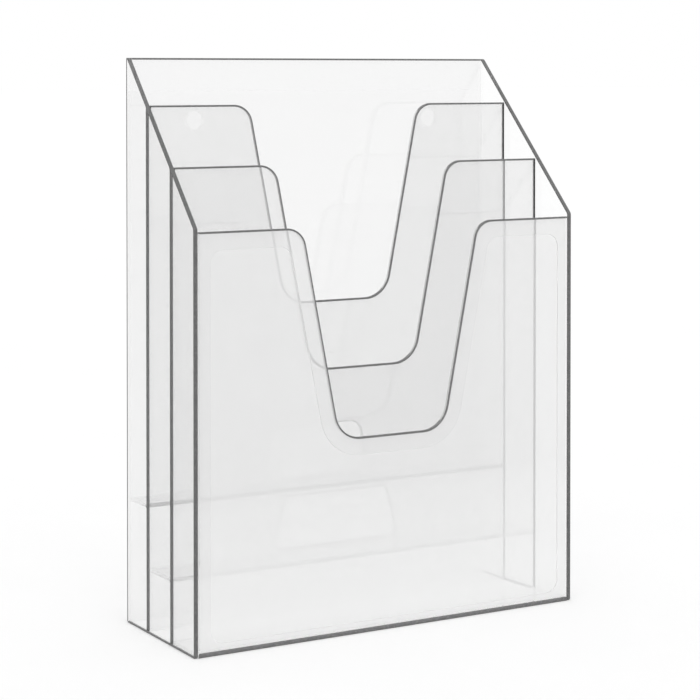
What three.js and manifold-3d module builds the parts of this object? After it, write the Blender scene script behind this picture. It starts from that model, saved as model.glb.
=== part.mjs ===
// Desktop file sorter with three stepped pockets, made of clear flat sheets bonded edge to face.
// Millimetres. +Z is up, the front faces -Y, and +X is to the right as seen from the front.
// The origin is the middle of the footprint, at desk height.

import * as THREE from 'three';
import { mergeVertices } from 'three/addons/utils/BufferGeometryUtils.js';
import Module from 'manifold-3d';

// Whole object
const WIDTH = 250; // over the side panels at the front
const TOE_IN = 2.3; // each side panel runs in by this much from the front to the back
const DEPTH = 89.8;
const BACK_HEIGHT = 322.2;
const SIDE_FRONT_HEIGHT = 230.6;
const SHEET = 2.3;
const BOND_GAP = 0.1; // cement line left between neighbouring sheets

// Pocket walls, counted backwards from the front panel (0), through the middle divider (1)
// to the rear divider (2)
const WALL_PITCH = 31.5;
const FRONT_TOP = 228.6;
const TOP_RISE = 33.4; // each wall stands this much taller than the one in front of it
const FRONT_CUTOUT_BOTTOM = 110.2;
const CUTOUT_RISE = 35.1;

// Index cutout in the top edge of each pocket wall
const CUTOUT_BOTTOM_WIDTH = 68.3;
const CUTOUT_FLARE = 0.2; // how far each side moves outwards for each unit of height
const CUTOUT_RADIUS = 16;
const LIP_RADIUS = 12;

// Top faces of the pocket floors
const FRONT_FLOOR_TOP = SHEET;
const MIDDLE_FLOOR_TOP = 36.5;
const REAR_FLOOR_TOP = 71.9;

// Recessed field on the face of the front panel
const FIELD_DEPTH = 0.5;
const FIELD_MARGIN = 10;
const FIELD_BOTTOM_MARGIN = 6.5;
const FIELD_CORNER_RADIUS = 7.5;

// Low windows in the back walls of the rear and middle pockets
const WINDOW_SILL = 1; // height of each window's lower edge above its pocket floor
const REAR_WINDOW = { height: 30.3, bottomWidth: 69.5, topWidth: 61.5, radius: 8 };
const MIDDLE_WINDOW = { height: 29.6, bottomWidth: 84, topWidth: 68, radius: 3 };

// Hanging holes in the back panel
const HANGING_HOLE_RADIUS = 5;
const HANGING_HOLE_OFFSET = 80.3;
const HANGING_HOLE_HEIGHT = 286.4;

// Corners of the side panels
const SIDE_TOP_RADIUS = 2;
const SIDE_NOSE_RADIUS = 3;
const SIDE_FOOT_RADIUS = 1.5;

const ARC_STEPS = 10;
const CIRCLE_STEPS = 40;

const wasm = await Module();
wasm.setup();

function clearSheet(color) {
  return new THREE.MeshStandardMaterial({
    color,
    roughness: 0.06,
    metalness: 0,
    transparent: true,
    opacity: 0.3,
  });
}

// Y of a plane that lies this far in front of the outer face of the back panel
function yAt(distanceFromBack) {
  return DEPTH / 2 - distanceFromBack;
}

// Half the clear width between the side panels, this far in front of the back
function innerHalfWidth(distanceFromBack) {
  const toe = TOE_IN * (1 - distanceFromBack / DEPTH);
  return WIDTH / 2 - toe - SHEET - BOND_GAP;
}

function wallFront(wall) {
  return DEPTH - wall * WALL_PITCH;
}

function wallTop(wall) {
  return FRONT_TOP + wall * TOP_RISE;
}

function cutoutBottom(wall) {
  return FRONT_CUTOUT_BOTTOM + wall * CUTOUT_RISE;
}

// Half the width of a wall's cutout at a height, grown sideways by a margin square to its edge
function cutoutHalfWidth(wall, height, margin = 0) {
  const flare = CUTOUT_FLARE * (height - cutoutBottom(wall));
  return CUTOUT_BOTTOM_WIDTH / 2 + flare + margin * Math.hypot(1, CUTOUT_FLARE);
}

// Closed outline through corners given as [x, y, radius], with an arc at each rounded corner
function roundedOutline(corners) {
  const points = [];
  corners.forEach(([x, y, radius], index) => {
    const corner = new THREE.Vector2(x, y);
    if (radius === 0) {
      points.push(corner);
      return;
    }
    const before = corners[(index + corners.length - 1) % corners.length];
    const after = corners[(index + 1) % corners.length];
    const toBefore = new THREE.Vector2(before[0] - x, before[1] - y).normalize();
    const toAfter = new THREE.Vector2(after[0] - x, after[1] - y).normalize();
    const halfAngle = Math.acos(toBefore.dot(toAfter)) / 2;
    const toCentre = toBefore.clone().add(toAfter).normalize();
    const centre = corner.clone().addScaledVector(toCentre, radius / Math.sin(halfAngle));
    const start = corner.clone().addScaledVector(toBefore, radius / Math.tan(halfAngle));
    const startAngle = start.sub(centre).angle();
    const turn = Math.sign(toAfter.cross(toBefore)) * (Math.PI - 2 * halfAngle);
    for (let step = 0; step <= ARC_STEPS; step += 1) {
      const angle = startAngle + (turn * step) / ARC_STEPS;
      const offset = new THREE.Vector2(Math.cos(angle), Math.sin(angle));
      points.push(centre.clone().addScaledVector(offset, radius));
    }
  });
  return points;
}

function circleOutline(x, y, radius) {
  const points = [];
  for (let step = 0; step < CIRCLE_STEPS; step += 1) {
    const angle = (2 * Math.PI * step) / CIRCLE_STEPS;
    points.push(new THREE.Vector2(x + radius * Math.cos(angle), y + radius * Math.sin(angle)));
  }
  return points;
}

function windowOutline(window, floorTop) {
  const bottom = floorTop + WINDOW_SILL;
  const top = bottom + window.height;
  return roundedOutline([
    [-window.bottomWidth / 2, bottom, window.radius],
    [window.bottomWidth / 2, bottom, window.radius],
    [window.topWidth / 2, top, window.radius],
    [-window.topWidth / 2, top, window.radius],
  ]);
}

// Outline of a pocket wall: a rectangle with the flared index cutout in its top edge
function wallOutline(wall, bottom) {
  const top = wallTop(wall);
  const dip = cutoutBottom(wall);
  const lip = cutoutHalfWidth(wall, top);
  const dipHalf = cutoutHalfWidth(wall, dip);
  const side = innerHalfWidth(wallFront(wall) - SHEET);
  return roundedOutline([
    [-side, bottom, 0],
    [side, bottom, 0],
    [side, top, 0],
    [lip, top, LIP_RADIUS],
    [dipHalf, dip, CUTOUT_RADIUS],
    [-dipHalf, dip, CUTOUT_RADIUS],
    [-lip, top, LIP_RADIUS],
    [-side, top, 0],
  ]);
}

// Outline of the recessed field: the front panel's outline moved inwards by its margins
function fieldOutline() {
  const wall = 0;
  const side = WIDTH / 2 - FIELD_MARGIN;
  const top = wallTop(wall) - FIELD_MARGIN;
  const bottom = FIELD_BOTTOM_MARGIN;
  const dip = cutoutBottom(wall) - FIELD_MARGIN;
  const lip = cutoutHalfWidth(wall, top, FIELD_MARGIN);
  const dipHalf = cutoutHalfWidth(wall, dip, FIELD_MARGIN);
  const dipRadius = CUTOUT_RADIUS + FIELD_MARGIN;
  return roundedOutline([
    [-side, bottom, FIELD_CORNER_RADIUS],
    [side, bottom, FIELD_CORNER_RADIUS],
    [side, top, FIELD_CORNER_RADIUS],
    [lip, top, FIELD_CORNER_RADIUS],
    [dipHalf, dip, dipRadius],
    [-dipHalf, dip, dipRadius],
    [-lip, top, FIELD_CORNER_RADIUS],
    [-side, top, FIELD_CORNER_RADIUS],
  ]);
}

// Flat plate with an outline and holes, lying in its own XY plane
function plateGeometry(outline, holes = [], thickness = SHEET) {
  const shape = new THREE.Shape(outline);
  shape.holes = holes.map((points) => new THREE.Path(points));
  return new THREE.ExtrudeGeometry(shape, { depth: thickness, bevelEnabled: false });
}

function toSolid(geometry) {
  const bare = geometry.clone();
  bare.deleteAttribute('normal');
  bare.deleteAttribute('uv');
  const merged = mergeVertices(bare);
  const mesh = new wasm.Mesh({
    numProp: 3,
    vertProperties: new Float32Array(merged.attributes.position.array),
    triVerts: new Uint32Array(merged.index.array),
  });
  return new wasm.Manifold(mesh);
}

function cutGeometry(body, tool) {
  const result = toSolid(body).subtract(toSolid(tool)).getMesh();
  const geometry = new THREE.BufferGeometry();
  geometry.setAttribute('position', new THREE.BufferAttribute(result.vertProperties, 3));
  geometry.setIndex(new THREE.BufferAttribute(result.triVerts, 1));
  geometry.computeVertexNormals();
  return geometry;
}

function namedMesh(name, geometry, material) {
  const mesh = new THREE.Mesh(geometry, material);
  mesh.name = name;
  return mesh;
}

// Stands a plate upright across the width, with its front face this far in front of the back
function standAcross(mesh, front) {
  mesh.rotation.x = Math.PI / 2;
  mesh.position.y = yAt(front - SHEET);
  return mesh;
}

function backPanel() {
  const side = innerHalfWidth(0);
  const outline = roundedOutline([
    [-side, 0, 0],
    [side, 0, 0],
    [side, BACK_HEIGHT, 0],
    [-side, BACK_HEIGHT, 0],
  ]);
  const holes = [-1, 1].map((sign) =>
    circleOutline(sign * HANGING_HOLE_OFFSET, HANGING_HOLE_HEIGHT, HANGING_HOLE_RADIUS));
  holes.push(windowOutline(REAR_WINDOW, REAR_FLOOR_TOP));
  const mesh = namedMesh('back_panel', plateGeometry(outline, holes), clearSheet(0xf4f6f6));
  return standAcross(mesh, SHEET);
}

function rearDivider() {
  const holes = [windowOutline(MIDDLE_WINDOW, MIDDLE_FLOOR_TOP)];
  const geometry = plateGeometry(wallOutline(2, 0), holes);
  const mesh = namedMesh('rear_divider', geometry, clearSheet(0xf2f4f5));
  return standAcross(mesh, wallFront(2));
}

function middleDivider() {
  const geometry = plateGeometry(wallOutline(1, 0));
  const mesh = namedMesh('middle_divider', geometry, clearSheet(0xf0f3f4));
  return standAcross(mesh, wallFront(1));
}

// The front panel stands on the front floor, and the field is cut into its outer face.
function frontPanel() {
  const plate = plateGeometry(wallOutline(0, SHEET + BOND_GAP));
  const field = plateGeometry(fieldOutline(), [], SHEET);
  field.translate(0, 0, SHEET - FIELD_DEPTH);
  const mesh = namedMesh('front_panel', cutGeometry(plate, field), clearSheet(0xeff2f3));
  return standAcross(mesh, wallFront(0));
}

// A side panel's profile has a short flat behind its slanted top edge. The plate stands upright
// along the depth and leans inwards towards the back. Side is 1 on the right and -1 on the left.
function sidePanel(name, side) {
  const outline = roundedOutline([
    [yAt(DEPTH), 0, SIDE_FOOT_RADIUS],
    [yAt(0), 0, SIDE_FOOT_RADIUS],
    [yAt(0), BACK_HEIGHT, 0],
    [yAt(SHEET), BACK_HEIGHT, SIDE_TOP_RADIUS],
    [yAt(DEPTH), SIDE_FRONT_HEIGHT, SIDE_NOSE_RADIUS],
  ]);
  const across = new THREE.Vector3(0, 1, 0);
  const up = new THREE.Vector3(0, 0, 1);
  const outwards = new THREE.Vector3(1, 0, 0);
  const geometry = plateGeometry(outline).translate(0, 0, -SHEET / 2);
  geometry.applyMatrix4(new THREE.Matrix4().makeBasis(across, up, outwards));
  const lean = -side * (TOE_IN / DEPTH);
  geometry.applyMatrix4(new THREE.Matrix4().makeShear(0, 0, lean, 0, 0, 0));
  const mesh = namedMesh(name, geometry, clearSheet(0xf6f8f8));
  mesh.position.x = side * ((WIDTH - SHEET - TOE_IN) / 2);
  return mesh;
}

// Pocket floor between two distances from the back, with its top face at a height
function floorSheet(name, back, front, top) {
  const outline = roundedOutline([
    [-innerHalfWidth(back), yAt(back), 0],
    [-innerHalfWidth(front), yAt(front), 0],
    [innerHalfWidth(front), yAt(front), 0],
    [innerHalfWidth(back), yAt(back), 0],
  ]);
  const mesh = namedMesh(name, plateGeometry(outline), clearSheet(0xf1f4f5));
  mesh.position.z = top - SHEET;
  return mesh;
}

function pocketFloors() {
  const rearStart = SHEET + BOND_GAP;
  const rearEnd = wallFront(2) - SHEET - BOND_GAP;
  const middleStart = wallFront(2) + BOND_GAP;
  const middleEnd = wallFront(1) - SHEET - BOND_GAP;
  const frontStart = wallFront(1) + BOND_GAP;
  return [
    floorSheet('rear_floor', rearStart, rearEnd, REAR_FLOOR_TOP),
    floorSheet('middle_floor', middleStart, middleEnd, MIDDLE_FLOOR_TOP),
    floorSheet('front_floor', frontStart, DEPTH, FRONT_FLOOR_TOP),
  ];
}

const sorter = new THREE.Group();
sorter.add(backPanel());
sorter.add(sidePanel('left_side_panel', -1));
sorter.add(sidePanel('right_side_panel', 1));
sorter.add(frontPanel());
sorter.add(middleDivider());
sorter.add(rearDivider());
sorter.add(...pocketFloors());

export default sorter;
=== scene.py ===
"""Looks of a desktop file sorter made of clear bonded sheets. Metres, +Z up, the front faces -Y."""

import math

import bmesh
import bpy
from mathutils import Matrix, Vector


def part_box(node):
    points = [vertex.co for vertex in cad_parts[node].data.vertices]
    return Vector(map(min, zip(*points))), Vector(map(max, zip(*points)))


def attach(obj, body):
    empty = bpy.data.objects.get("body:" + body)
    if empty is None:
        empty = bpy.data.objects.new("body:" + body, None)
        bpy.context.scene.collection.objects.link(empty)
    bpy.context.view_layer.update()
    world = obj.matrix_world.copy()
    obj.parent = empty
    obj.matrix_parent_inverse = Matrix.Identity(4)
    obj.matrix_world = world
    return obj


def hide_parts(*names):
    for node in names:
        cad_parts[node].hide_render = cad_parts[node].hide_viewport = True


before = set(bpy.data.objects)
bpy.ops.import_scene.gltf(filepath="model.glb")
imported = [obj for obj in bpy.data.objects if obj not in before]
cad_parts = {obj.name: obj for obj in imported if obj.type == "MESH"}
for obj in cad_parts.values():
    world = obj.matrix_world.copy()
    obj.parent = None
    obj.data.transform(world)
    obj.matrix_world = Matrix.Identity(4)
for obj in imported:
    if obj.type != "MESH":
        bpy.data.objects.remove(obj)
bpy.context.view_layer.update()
MM = 0.001

# Edges of the sheets
EDGE_RADIUS = 0.6 * MM
PAINTED_DARK_RIM = 0.45 * MM  # strip of the face beside a free edge, painted as dark as the edge: painted shade
FIELD_STEP_RADIUS = 0.15 * MM
EDGE_SEGMENTS = 4
END_ZONE = 6 * MM  # how far from a wall's end its outline still counts as the end
FLAT_DOT = 0.9999  # normals closer than this lie in one flat region
SAME_PLACE = 0.01 * MM
SAME_WAY = 0.7  # an outline's stretch faces a way if the dot product is over this
SHARP_TURN = math.radians(35)

PLASTIC_IOR = 1.49
SIDE_IOR = 1.3  # lower, so that reflections don't hide what's behind a side panel
MIRRORED_ROOM = 0.9  # brightness of the surroundings in reflections
# painted reflection: strength at which the floor glows in the sheets' reflections
PAINTED_DESK_REFLECTION = 0.6

# Stage
FLOOR_REACH = 30.0
AMBIENT = 0.8  # strength of the surroundings as light, while they look plain white
LAMP_STRENGTH = 1.3
LAMP_SPREAD = math.radians(50)
LAMP_TURN = (math.radians(35), math.radians(-20), 0)
CLEAR_LAYERS = 40  # faces that a ray may pass and bounce off, in the worst case
UNBENT_LAYERS = 64  # faces that a ray may pass unbent

# Viewpoint
CAMERA_PLACE = Vector((-0.6411, -1.0656, 0.3145))
CAMERA_TURN = math.radians(30.99)  # from +Y towards +X
CAMERA_TILT = math.radians(1.11)  # below the horizon
CAMERA_LENS = 110.26
CAMERA_SHIFT = -0.3387

FRONT = Vector((0, -1, 0))
UP = Vector((0, 0, 1))


# ---------------------------------------------------------------- node helpers


def new_material(name):
    material = bpy.data.materials.new(name)
    material.use_nodes = True
    material.node_tree.nodes.clear()
    return material, material.node_tree


def add_node(tree, kind, inputs=None, **settings):
    """A node with its settings and its inputs, each of which is a value or another node's output."""
    node = tree.nodes.new(kind)
    for key, value in settings.items():
        setattr(node, key, value)
    for key, value in (inputs or {}).items():
        if isinstance(value, bpy.types.NodeSocket):
            tree.links.new(value, node.inputs[key])
        else:
            node.inputs[key].default_value = value
    return node


def math_node(tree, operation, first, second=0.0):
    return add_node(tree, "ShaderNodeMath", {0: first, 1: second}, operation=operation).outputs[0]


def noise(tree, scale, detail=2.0, stretch=(1, 1, 1)):
    """Values of a noise about this many features to the metre, longer along the axes with a low stretch."""
    place = add_node(tree, "ShaderNodeTexCoord").outputs["Object"]
    mapping = add_node(tree, "ShaderNodeMapping", {"Vector": place, "Scale": stretch})
    texture = add_node(
        tree,
        "ShaderNodeTexNoise",
        {"Vector": mapping.outputs[0], "Scale": scale, "Detail": detail},
    )
    return texture.outputs["Fac"]


def spread(tree, value, low, high):
    """Maps the middle of a noise onto low to high."""
    node = add_node(
        tree,
        "ShaderNodeMapRange",
        {"Value": value, "From Min": 0.3, "From Max": 0.7, "To Min": low, "To Max": high},
    )
    return node.outputs[0]


def grey_colour(tree, shade):
    return add_node(tree, "ShaderNodeCombineColor", {0: shade, 1: shade, 2: shade}).outputs[0]


def mix(tree, share, first, second):
    """A share of the second shader in the first."""
    return add_node(tree, "ShaderNodeMixShader", {0: share, 1: first, 2: second}).outputs[0]


def mirror_ray(tree):
    """1 for a ray that has just been reflected by a glossy face, otherwise 0."""
    path = add_node(tree, "ShaderNodeLightPath")
    return math_node(tree, "MULTIPLY", path.outputs["Is Glossy Ray"], path.outputs["Is Reflection Ray"])


def output(tree, shader):
    add_node(tree, "ShaderNodeOutputMaterial", {"Surface": shader})


# ------------------------------------------------------------------- materials


def lit_through(tree, shader, passed):
    """The shader as it's seen, but light on its way to other things gets this share through it unbent."""
    straight = add_node(tree, "ShaderNodeBsdfTransparent", {"Color": (passed, passed, passed, 1)})
    path = add_node(tree, "ShaderNodeLightPath")
    unseen = math_node(tree, "MAXIMUM", path.outputs["Is Shadow Ray"], path.outputs["Is Diffuse Ray"])
    return mix(tree, unseen, shader, straight.outputs[0])


def painted_desk_light(tree, painted_light_gain, blur):
    """Painted desk light: a factor of 1 high up, and more below each raised pocket floor, which holds back
    the light off the desk.
    """
    place = add_node(tree, "ShaderNodeNewGeometry").outputs["Position"]
    height = add_node(tree, "ShaderNodeSeparateXYZ", {0: place}).outputs[2]
    painted_light_factor = 1.0
    for node in ("rear_floor", "middle_floor"):
        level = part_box(node)[1].z
        limits = {"From Min": level - blur, "From Max": level + blur, "To Min": painted_light_gain, "To Max": 0.0}
        below = add_node(tree, "ShaderNodeMapRange", {"Value": height, **limits}).outputs[0]
        painted_light_factor = math_node(tree, "ADD", painted_light_factor, below)
    return painted_light_factor


def clear_face(name, passed, veil, brightness=0.88, painted_light_gain=0.1, blur=1 * MM, ior=PLASTIC_IOR):
    """Flat face of a clear sheet. It passes this share of the light and adds a milky veil, whose colour
    holds painted desk light:
    it grows brighter by the gain below each raised pocket floor."""
    material, tree = new_material(name)
    smudge = noise(tree, 14.0, 3.0)
    scratch = noise(tree, 220.0, 4.0, (1.0, 1.0, 0.08))
    tint = grey_colour(tree, spread(tree, smudge, passed - 0.004, passed + 0.004))
    roughness = spread(tree, scratch, 0.0, 0.02)
    bump = add_node(
        tree, "ShaderNodeBump", {"Height": smudge, "Strength": 0.03, "Distance": 0.0003}
    ).outputs[0]
    # veil colour: the milky plastic, brightened by painted desk light below the pocket floors
    milk_and_painted_light = grey_colour(tree, math_node(tree, "MULTIPLY", painted_desk_light(tree, painted_light_gain, blur), brightness))
    haze = add_node(tree, "ShaderNodeBsdfDiffuse", {"Color": milk_and_painted_light})
    haze_share = spread(tree, smudge, veil * 0.97, veil * 1.03)
    glass = add_node(
        tree,
        "ShaderNodeBsdfGlass",
        {"Color": tint, "Roughness": roughness, "IOR": ior, "Normal": bump},
    )
    seen = mix(tree, haze_share, glass.outputs[0], haze.outputs[0])
    output(tree, lit_through(tree, seen, 0.99))
    return material


def painted_shade_edge(name, grey, opacity, inner_opacity=0.0, gloss=0.4, from_outside=False):
    """Cut edge of a clear sheet, painted dark grey as painted shade for how dark it looks because it leads
    the light away.
    The inner opacity is how dark the painted shade looks through its own sheet, which can be left to
    viewers on the outer side of x = 0."""
    material, tree = new_material(name)
    streaks = noise(tree, 900.0, 3.0)
    shade = grey_colour(tree, spread(tree, streaks, grey * 0.8, grey * 1.2))
    roughness = spread(tree, streaks, 0.12, 0.3)
    bump = add_node(
        tree, "ShaderNodeBump", {"Height": streaks, "Strength": 0.15, "Distance": 0.0001}
    ).outputs[0]
    solid = add_node(
        tree,
        "ShaderNodeBsdfPrincipled",
        {"Base Color": shade, "Roughness": roughness, "Specular IOR Level": gloss, "Normal": bump},
    )
    geometry = add_node(tree, "ShaderNodeNewGeometry")
    inside = geometry.outputs["Backfacing"]
    inner = inner_opacity
    if from_outside:
        place = add_node(tree, "ShaderNodeSeparateXYZ", {0: geometry.outputs["Position"]})
        ray = add_node(tree, "ShaderNodeSeparateXYZ", {0: geometry.outputs["Incoming"]})
        outer = math_node(tree, "MULTIPLY", place.outputs[0], ray.outputs[0])
        inner = math_node(tree, "MULTIPLY", math_node(tree, "GREATER_THAN", outer), inner_opacity)
    change = math_node(tree, "MULTIPLY", inside, math_node(tree, "SUBTRACT", inner, opacity))
    share = math_node(tree, "ADD", change, opacity)
    straight = add_node(tree, "ShaderNodeBsdfTransparent", {"Color": (0.98, 0.98, 0.98, 1)})
    output(tree, mix(tree, share, straight.outputs[0], solid.outputs[0]))
    return material


# ------------------------------------------------------------- sheets as meshes


def node_solid(node):
    """The node's solid as a bmesh with merged corners."""
    solid = bmesh.new()
    solid.from_mesh(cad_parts[node].data)
    bmesh.ops.remove_doubles(solid, verts=solid.verts, dist=SAME_PLACE)
    solid.normal_update()
    return solid


def flat_region(solid, normal, level):
    """Faces that look along normal and lie at this level along it."""
    return {
        face
        for face in solid.faces
        if face.normal.dot(normal) > FLAT_DOT
        and abs(face.verts[0].co.dot(normal) - level) < SAME_PLACE
    }


def region_loops(region):
    """Closed loops of points round a flat region, with the region on the left."""
    following = {}
    for face in region:
        for corner in face.loops:
            across = [other for other in corner.edge.link_faces if other not in region]
            if across:
                following[corner.vert] = corner.link_loop_next.vert
    loops = []
    while following:
        start, vertex = following.popitem()
        loop = [start]
        while vertex is not start:
            loop.append(vertex)
            vertex = following.pop(vertex)
        loops.append([corner.co.copy() for corner in loop])
    return sorted(loops, key=loop_length, reverse=True)


def loop_length(loop):
    return sum((point - loop[index - 1]).length for index, point in enumerate(loop))


def inward_steps(loop, normal):
    """For each point, the move that brings both of its edges inwards by one unit."""
    count = len(loop)
    sides = []
    for index in range(count):
        along = (loop[(index + 1) % count] - loop[index]).normalized()
        sides.append(normal.cross(along))
    steps = []
    for index in range(count):
        before = sides[index - 1]
        after = sides[index]
        steps.append((before + after) / (1 + before.dot(after)))
    return steps


def sharp_corners(loop):
    """For each point, True where the outline turns sharply."""
    count = len(loop)
    turns = []
    for index in range(count):
        before = loop[index] - loop[index - 1]
        after = loop[(index + 1) % count] - loop[index]
        turns.append(before.angle(after) > SHARP_TURN)
    return turns


def loft(mesh, loop, normal, across, profile, slot_of):
    """Skins an outline along a profile of (inset, depth). Returns the first and the last ring. Slot_of
    gives a face's material slot from the way its stretch of the outline faces, the stretch's middle and
    the step of the profile."""
    steps = inward_steps(loop, normal)
    sharp = sharp_corners(loop)
    rings = []
    for inset, depth in profile:
        rings.append(
            [mesh.verts.new(p + step * inset + across * depth) for p, step in zip(loop, steps)]
        )
    count = len(loop)
    outwards = [
        (loop[(index + 1) % count] - loop[index]).normalized().cross(normal) for index in range(count)
    ]
    for level, (upper, lower) in enumerate(zip(rings, rings[1:])):
        for index in range(count):
            after = (index + 1) % count
            face = mesh.faces.new((upper[index], lower[index], lower[after], upper[after]))
            middle = (loop[index] + loop[after]) / 2
            face.material_index = slot_of(outwards[index], middle, level)
            face.smooth = True
        for index in range(count):
            if sharp[index]:
                mesh.edges.get((upper[index], lower[index])).smooth = False
    return rings[0], rings[-1]


def cap(mesh, rings, normal, slot):
    """Fills the flat area between rings, each of which is a closed ring of vertices."""
    edges = []
    for ring in rings:
        for first, second in zip(ring, ring[1:] + ring[:1]):
            edges.append(mesh.edges.get((first, second)))
    filled = bmesh.ops.triangle_fill(mesh, edges=edges, use_beauty=True, normal=normal)
    for item in filled["geom"]:
        if isinstance(item, bmesh.types.BMFace):
            item.material_index = slot
            if item.normal.dot(normal) < 0:
                item.normal_flip()


def rounding(radius, depth_of, outwards=1):
    """Quarter round as (inset, depth) pairs, from the flat face to the side of the edge."""
    points = []
    for index in range(EDGE_SEGMENTS + 1):
        angle = math.pi / 2 * index / EDGE_SEGMENTS
        inset = outwards * radius * (1 - math.sin(angle))
        points.append((inset, depth_of(radius * (1 - math.cos(angle)))))
    return points


FACE, FREE_EDGE, BONDED_EDGE, OPENING_EDGE, SOFT_EDGE = range(5)
SHELF_EDGE, END_EDGE, FLANK_EDGE, BACK_EDGE, FIELD = range(5, 10)

# Steps of an edge's profile: the rim painted dark as painted shade, the rounding, the flat, the other
# rounding and the other rim
FLAT_STEP = EDGE_SEGMENTS + 1


def wall_slots(half_width, ends, foot):
    """Slots for an upright wall: its ends and foot as given, and a soft flat along its top and cutout. The
    painted shade on the rear half of each flank of the cutout shows through the sheet only to viewers on
    that flank's side."""

    def slot_of(outwards, middle, step):
        if outwards.dot(-UP) > SAME_WAY:
            return foot
        if abs(middle.x) > half_width - END_ZONE and abs(outwards.x) > SAME_WAY:
            return ends
        if step == FLAT_STEP:
            return SOFT_EDGE
        flank = step > FLAT_STEP and abs(outwards.x) > SAME_WAY
        return FLANK_EDGE if flank else FREE_EDGE

    return slot_of


def side_slots(outwards, middle, step):
    """Slots for a side panel, whose back edge's painted shade can't be seen through it from its inner side.
    """
    if outwards.dot(-FRONT) > SAME_WAY:
        return BACK_EDGE if step <= FLAT_STEP else BONDED_EDGE
    return FREE_EDGE


def opening_slots(outwards, middle, step):
    """Slots for an opening: a hanging hole, which is higher than the front panel, or a low window."""
    return BONDED_EDGE if middle.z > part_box("front_panel")[1].z else OPENING_EDGE


def floor_slots(front):
    """Slots for a pocket floor, which is bonded all round but for its front edge."""

    def slot_of(outwards, middle, step):
        if outwards.dot(FRONT) > SAME_WAY:
            return front
        return BONDED_EDGE

    return slot_of


def clear_sheet(node, normal, across, materials, slot_of):
    """A node's sheet rebuilt with rounded edges. Across leads through the sheet from its outer face."""
    solid = node_solid(node)
    outer_level = max(vertex.co.dot(normal) for vertex in solid.verts)
    thickness = outer_level - min(
        face.verts[0].co.dot(normal) for face in solid.faces if face.normal.dot(normal) < -FLAT_DOT
    )
    unit = across / abs(across.dot(normal))
    outer = region_loops(flat_region(solid, normal, outer_level))
    inner = region_loops(flat_region(solid, -normal, thickness - outer_level))
    inner_points = [point for loop in inner for point in loop]
    mesh = bmesh.new()
    front_rings = []
    back_rings = []
    rim = EDGE_RADIUS + PAINTED_DARK_RIM
    edge_profile = [(rim, 0)] + rounding(EDGE_RADIUS, lambda depth: depth)
    edge_profile += reversed([(rim, thickness)] + rounding(EDGE_RADIUS, lambda depth: thickness - depth))
    for index, loop in enumerate(outer):
        opposite = loop[0] + unit * thickness
        if min((point - opposite).length for point in inner_points) < SAME_PLACE:
            pick = slot_of if index == 0 else opening_slots
            first, last = loft(mesh, loop, normal, unit, edge_profile, pick)
            back_rings.append(last)
        else:
            first = recessed_field(mesh, solid, loop, normal, unit, outer_level)
        front_rings.append(first)
    cap(mesh, front_rings, normal, FACE)
    cap(mesh, back_rings, -normal, FACE)
    solid.free()
    return finished_piece(node, mesh, materials)


def recessed_field(mesh, solid, loop, normal, unit, outer_level):
    """The shallow step down to a field in a sheet's outer face, and the field itself."""
    levels = [
        face.verts[0].co.dot(normal)
        for face in solid.faces
        if face.normal.dot(normal) > FLAT_DOT
    ]
    depth = outer_level - min(levels)
    profile = rounding(FIELD_STEP_RADIUS, lambda drop: drop)
    profile += reversed(rounding(FIELD_STEP_RADIUS, lambda rise: depth - rise, -1))
    first, last = loft(mesh, loop, normal, unit, profile, lambda *place: FACE)
    cap(mesh, [last], normal, FIELD)
    return first


def finished_piece(node, mesh, materials):
    data = bpy.data.meshes.new(node + "_sheet")
    mesh.normal_update()
    mesh.to_mesh(data)
    mesh.free()
    for material in materials:
        data.materials.append(material)
    piece = bpy.data.objects.new(node + "_sheet", data)
    bpy.context.scene.collection.objects.link(piece)
    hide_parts(node)
    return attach(piece, "root")


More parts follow.
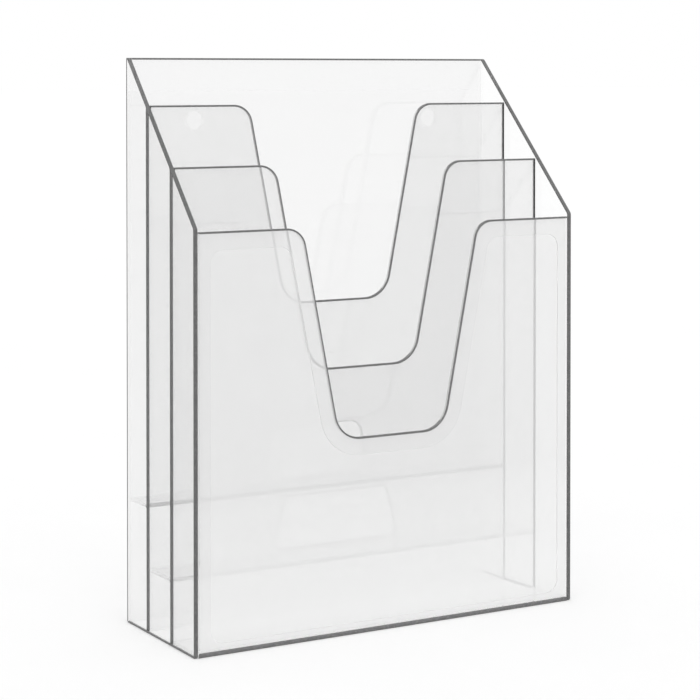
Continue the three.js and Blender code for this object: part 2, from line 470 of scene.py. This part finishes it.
def build_sheets():
    """The nine sheets, each with its own face material and the same set of edge materials."""
    # Edge materials painted dark grey: painted shade for the darkness that clear edges show
    edges = (
        painted_shade_edge("free_edge", grey=0.125, opacity=0.95, inner_opacity=0.8),
        painted_shade_edge("bonded_edge", grey=0.6, opacity=0.06),
        painted_shade_edge("opening_edge", grey=0.35, opacity=0.35, inner_opacity=0.3),
        painted_shade_edge("soft_edge", grey=0.3, opacity=0.35),
        painted_shade_edge("shelf_edge", grey=0.14, opacity=0.75),
        painted_shade_edge("end_edge", grey=0.02, opacity=0.98, inner_opacity=0.98, gloss=0.0),
        painted_shade_edge("flank_edge", grey=0.125, opacity=0.95, inner_opacity=0.8, from_outside=True),
        painted_shade_edge("back_edge", grey=0.06, opacity=0.95, inner_opacity=0.95, gloss=0.1, from_outside=True),
    )
    back_face = clear_face("back_face", passed=0.965, veil=0.07)
    wall_face = clear_face("wall_face", passed=0.964, veil=0.17, brightness=0.75)
    milky = {"passed": 0.96, "painted_light_gain": 0.04, "blur": 15 * MM}
    front_face = clear_face("front_face", veil=0.38, brightness=0.75, **milky)
    field = clear_face("front_field", veil=0.42, brightness=0.775, **milky)
    side_face = clear_face("side_face", passed=1.0, veil=0.01, brightness=0.97, ior=SIDE_IOR)
    floor_face = clear_face("floor_face", passed=0.98, veil=0.12, brightness=0.55)

    def sheet(node, normal, across, face, slot_of, *more):
        clear_sheet(node, normal, across, (face,) + edges + more, slot_of)

    def wall(node, face, ends, *more):
        half_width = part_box(node)[1].x
        sheet(node, FRONT, -FRONT, face, wall_slots(half_width, ends, BONDED_EDGE), *more)

    wall("back_panel", back_face, BONDED_EDGE)
    wall("rear_divider", wall_face, END_EDGE)
    wall("middle_divider", wall_face, END_EDGE)
    wall("front_panel", front_face, BONDED_EDGE, field)
    front_edges = {"rear_floor": SHELF_EDGE, "middle_floor": SOFT_EDGE, "front_floor": FREE_EDGE}
    for node, front in front_edges.items():
        sheet(node, UP, -UP, floor_face, floor_slots(front))
    for node in ("left_side_panel", "right_side_panel"):
        normal = side_normal(node)
        across = Vector((-math.copysign(1, normal.x), 0, 0))
        sheet(node, normal, across, side_face, side_slots)


def side_normal(node):
    """Outward normal of a side panel, which leans inwards towards the back."""
    solid = node_solid(node)
    outwards = 1 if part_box(node)[0].x > 0 else -1
    largest = max(
        (face for face in solid.faces if face.normal.x * outwards > 0),
        key=lambda face: face.calc_area(),
    )
    normal = largest.normal.copy()
    solid.free()
    return normal


# ------------------------------------------------------------------------ stage


def build_floor():
    """Plain white floor, which glows at a set painted brightness where it is seen in the sheets'
    reflections.
    """
    mesh = bpy.data.meshes.new("floor")
    reach = FLOOR_REACH
    corners = [(-reach, -reach, 0), (reach, -reach, 0), (reach, reach, 0), (-reach, reach, 0)]
    mesh.from_pydata(corners, [], [(0, 1, 2, 3)])
    floor = bpy.data.objects.new("floor", mesh)
    bpy.context.scene.collection.objects.link(floor)
    material, tree = new_material("floor_white")
    mottle = noise(tree, 6.0)
    shade = spread(tree, mottle, 0.895, 0.905)
    plain = add_node(tree, "ShaderNodeBsdfDiffuse", {"Color": grey_colour(tree, shade)})
    painted_reflection_glow = add_node(tree, "ShaderNodeEmission", {"Color": (1, 1, 1, 1), "Strength": PAINTED_DESK_REFLECTION})
    output(tree, mix(tree, mirror_ray(tree), plain.outputs[0], painted_reflection_glow.outputs[0]))
    mesh.materials.append(material)


def build_light():
    """Even white surroundings, dimmer as lighting and in reflections, and a wide soft lamp from above."""
    world = bpy.data.worlds.new("studio")
    bpy.context.scene.world = world
    world.use_nodes = True
    tree = world.node_tree
    tree.nodes.clear()
    path = add_node(tree, "ShaderNodeLightPath")
    seen = add_node(tree, "ShaderNodeBackground", {"Color": (1, 1, 1, 1), "Strength": 1.0})
    ambient = add_node(tree, "ShaderNodeBackground", {"Color": (1, 1, 1, 1), "Strength": AMBIENT})
    mirrored = add_node(tree, "ShaderNodeBackground", {"Color": (1, 1, 1, 1), "Strength": MIRRORED_ROOM})
    lit = mix(tree, path.outputs["Is Diffuse Ray"], seen.outputs[0], ambient.outputs[0])
    dimmed = mix(tree, mirror_ray(tree), lit, mirrored.outputs[0])
    add_node(tree, "ShaderNodeOutputWorld", {"Surface": dimmed})

    lamp = bpy.data.lights.new("soft_lamp", "SUN")
    lamp.energy = LAMP_STRENGTH
    lamp.angle = LAMP_SPREAD
    holder = bpy.data.objects.new("soft_lamp", lamp)
    holder.rotation_euler = LAMP_TURN
    bpy.context.scene.collection.objects.link(holder)


def build_camera():
    camera = bpy.data.cameras.new("camera")
    camera.sensor_width = 36
    camera.lens = CAMERA_LENS
    camera.clip_start = 0.01
    camera.clip_end = 100
    holder = bpy.data.objects.new("camera", camera)
    holder.location = CAMERA_PLACE
    holder.rotation_euler = (math.pi / 2 - CAMERA_TILT, 0, -CAMERA_TURN)
    bpy.context.scene.collection.objects.link(holder)
    bpy.context.scene.camera = holder
    shift_at_viewpoint(camera, holder)


def shift_at_viewpoint(camera, holder):
    """Shifts the view down while the camera stands at its own viewpoint, and nowhere else."""
    driver = camera.driver_add("shift_y").driver
    driver.type = "SCRIPTED"
    variable = driver.variables.new()
    variable.name = "x"
    variable.type = "TRANSFORMS"
    variable.targets[0].id = holder
    variable.targets[0].transform_type = "LOC_X"
    variable.targets[0].transform_space = "WORLD_SPACE"
    driver.expression = f"{CAMERA_SHIFT} if abs(x - {CAMERA_PLACE.x}) < 0.001 else 0.0"


def build_stage():
    build_floor()
    build_light()
    build_camera()
    scene = bpy.context.scene
    scene.view_settings.view_transform = "Standard"
    scene.cycles.max_bounces = CLEAR_LAYERS
    scene.cycles.transmission_bounces = CLEAR_LAYERS
    scene.cycles.transparent_max_bounces = UNBENT_LAYERS


build_sheets()
build_stage()
bpy.context.view_layer.update()
